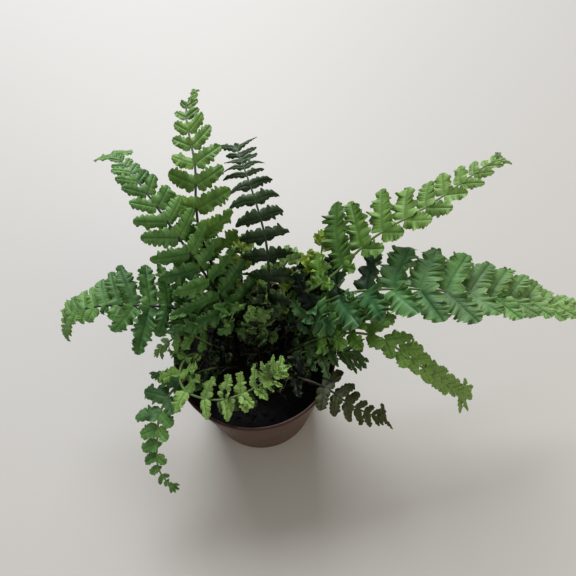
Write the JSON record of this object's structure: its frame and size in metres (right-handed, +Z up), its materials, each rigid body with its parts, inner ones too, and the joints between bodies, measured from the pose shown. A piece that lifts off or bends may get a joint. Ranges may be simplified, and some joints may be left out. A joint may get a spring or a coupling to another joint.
{
  "type": "potted wood fern",
  "caption": "Small fern with arching fronds of lobed, crisped leaflets, growing from soil in a round plastic nursery pot.",
  "frame": {"origin": "centre of the pot's underside", "axes": "+Z up along the pot's axis, -Y towards the front, where the fresh frond curls over the soil"},
  "size_m": [0.2976, 0.1995, 0.161],
  "materials": {
    "pot_plastic": "satin",
    "compost": "matte",
    "rootstock": "matte",
    "leaf_blue_green": "satin",
    "leaf_light_green": "satin",
    "leaf_mid_green": "satin",
    "leaf_dark_green": "satin",
    "leaf_olive": "satin",
    "leaf_yellow_green": "satin",
    "leaf_near_black": "satin"
  },
  "bodies": {
    "root": {"pot": "pot_plastic", "soil": "compost", "crown": "rootstock", "frond_right_long": "leaf_blue_green", "frond_right_upper": "leaf_light_green", "frond_back_left": "leaf_mid_green", "frond_back_tall": "leaf_light_green", "frond_back_dark": "leaf_dark_green", "frond_left": "leaf_mid_green", "frond_right_lower": "leaf_light_green", "frond_front_fresh": "leaf_light_green", "frond_trailing": "leaf_mid_green", "frond_right_small": "leaf_olive", "frond_left_curled": "leaf_mid_green", "frond_front_dark": "leaf_dark_green", "young_frond_01": "leaf_mid_green", "young_frond_02": "leaf_mid_green", "young_frond_03": "leaf_yellow_green", "young_frond_04": "leaf_blue_green", "young_frond_05": "leaf_yellow_green", "young_frond_06": "leaf_near_black", "young_frond_07": "leaf_blue_green", "young_frond_08": "leaf_light_green", "young_frond_09": "leaf_mid_green", "young_frond_10": "leaf_mid_green", "young_frond_11": "leaf_dark_green", "young_frond_12": "leaf_dark_green", "young_frond_13": "leaf_mid_green"}
  },
  "joints": []
}
